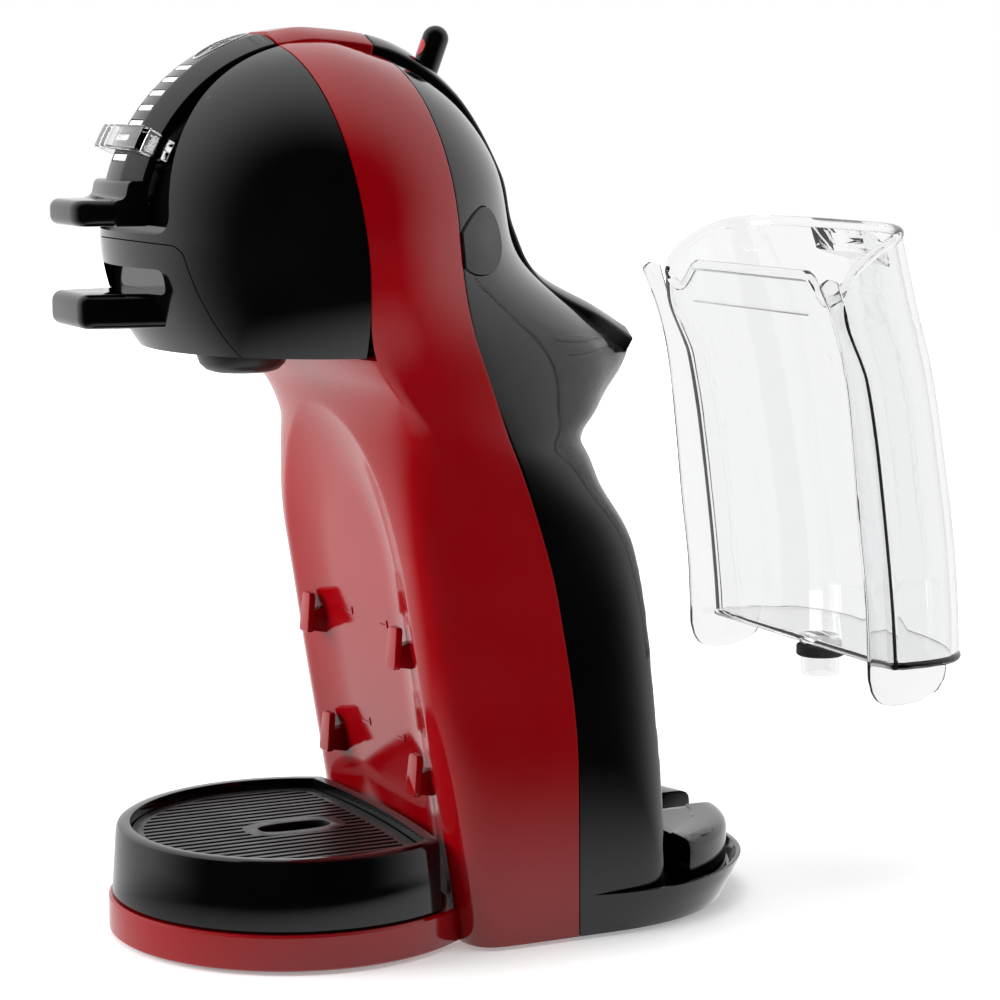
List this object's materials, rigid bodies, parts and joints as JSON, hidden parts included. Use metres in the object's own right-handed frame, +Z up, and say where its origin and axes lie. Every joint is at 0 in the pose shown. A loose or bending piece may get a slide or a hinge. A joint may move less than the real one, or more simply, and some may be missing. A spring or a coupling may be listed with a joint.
{
  "type": "espresso machine",
  "caption": "Ball-headed capsule espresso machine with locking lever, pull-out capsule drawer, round drip tray, hot and cold selector and a lift-off clear water tank.",
  "frame": {"origin": "middle of the machine's bounding box, at the bottom of its rubber feet", "axes": "+Z up, -Y towards the front where the cup stands, +X to the machine's left when seen from its front, the side that has the power button"},
  "size_m": [0.1596, 0.3256, 0.3071],
  "materials": {
    "red_shell": "glossy deep red",
    "gloss_black": "piano black",
    "satin_black": "satin black",
    "button_grey": "matte dark grey",
    "badge": "dark gloss",
    "light": "white light guide",
    "clear_plastic": "clear",
    "rubber": "matte",
    "steel": "brushed",
    "aluminium": "cast",
    "copper": "wound coil",
    "board": "circuit board",
    "inner_plastic": "plain moulding"
  },
  "bodies": {
    "machine": {"front_shell": "red_shell", "ridge_cover": "red_shell", "rear_shell": "gloss_black", "spine_cover": "gloss_black", "head_casing": "gloss_black", "head_underside": "gloss_black", "lever_pin": "steel", "tank_dock": "gloss_black", "dock_seal": "rubber", "dock_valve": "inner_plastic", "base_plate": "inner_plastic", "foot_1": "rubber", "foot_2": "rubber", "foot_3": "rubber", "foot_4": "rubber", "base_screw_1": "steel", "base_screw_2": "steel", "base_screw_3": "steel", "base_screw_4": "steel", "cord_gland": "rubber", "chassis": "inner_plastic", "pump_body": "steel", "pump_coil": "copper", "pump_mount_lower": "rubber", "pump_mount_upper": "rubber", "heater_block": "aluminium", "selector_valve": "inner_plastic", "injector_guide": "inner_plastic", "power_switch": "inner_plastic", "button_spring": "steel", "control_board": "board", "inlet_hose": "rubber", "pressure_hose": "rubber", "outlet_hose": "rubber"},
    "lever": {"locking_lever": "gloss_black", "badge_plate": "badge", "light_bar_1": "light", "light_bar_2": "light", "light_bar_3": "light", "light_bar_4": "light", "light_bar_5": "light", "light_bar_6": "light", "light_bar_7": "light"},
    "slider": {"volume_slider": "clear_plastic"},
    "drawer": {"capsule_drawer": "gloss_black", "capsule_tray": "gloss_black", "capsule_cup": "satin_black"},
    "stick": {"hot_cold_stick": "gloss_black"},
    "button": {"power_button": "button_grey"},
    "tray": {"drip_tray": "gloss_black"},
    "grille": {"drip_grille": "satin_black"},
    "tank": {"water_tank": "clear_plastic", "tank_seal": "rubber"},
    "injector": {"injector": "steel"}
  },
  "joints": [
    {"name": "lever_lift", "type": "hinge", "parent": "machine", "child": "lever", "pos_m": [0, -0.0972, 0.3], "axis": [-1, 0, 0], "range_deg": [0, 45]},
    {"name": "volume_turn", "type": "hinge", "parent": "lever", "child": "slider", "pos_m": [0, -0.0792, 0.238], "axis": [-1, 0, 0], "range_deg": [-5.25, 26.25]},
    {"name": "drawer_pull", "type": "slide", "parent": "machine", "child": "drawer", "axis": [0, -1, 0], "range_m": [0, 0.06]},
    {"name": "temperature_turn", "type": "hinge", "parent": "machine", "child": "stick", "pos_m": [0, -0.0362, 0.283], "axis": [0, 1, 0], "range_deg": [-18, 18]},
    {"name": "power_press", "type": "slide", "parent": "machine", "child": "button", "axis": [-0.7547, -0.6561, 0], "range_m": [0, 0.001], "stiffness_N_per_m": 800, "springref_m": -0.001},
    {"name": "tray_lift", "type": "slide", "parent": "machine", "child": "tray", "axis": [0, -0.5, 0.866], "range_m": [0, 0.05]},
    {"name": "grille_lift", "type": "slide", "parent": "tray", "child": "grille", "axis": [0, 0, 1], "range_m": [0, 0.015]},
    {"name": "tank_fit", "type": "slide", "parent": "machine", "child": "tank", "axis": [0, 0.8247, 0.5656], "range_m": [-0.0946, 0]},
    {"name": "injector_rise", "type": "slide", "parent": "machine", "child": "injector", "axis": [0, 0, 1], "range_m": [0, 0.008]}
  ],
  "couplings": [
    {"joint": "injector_rise", "follows": "lever_lift", "m_per_rad": 0.0101}
  ]
}
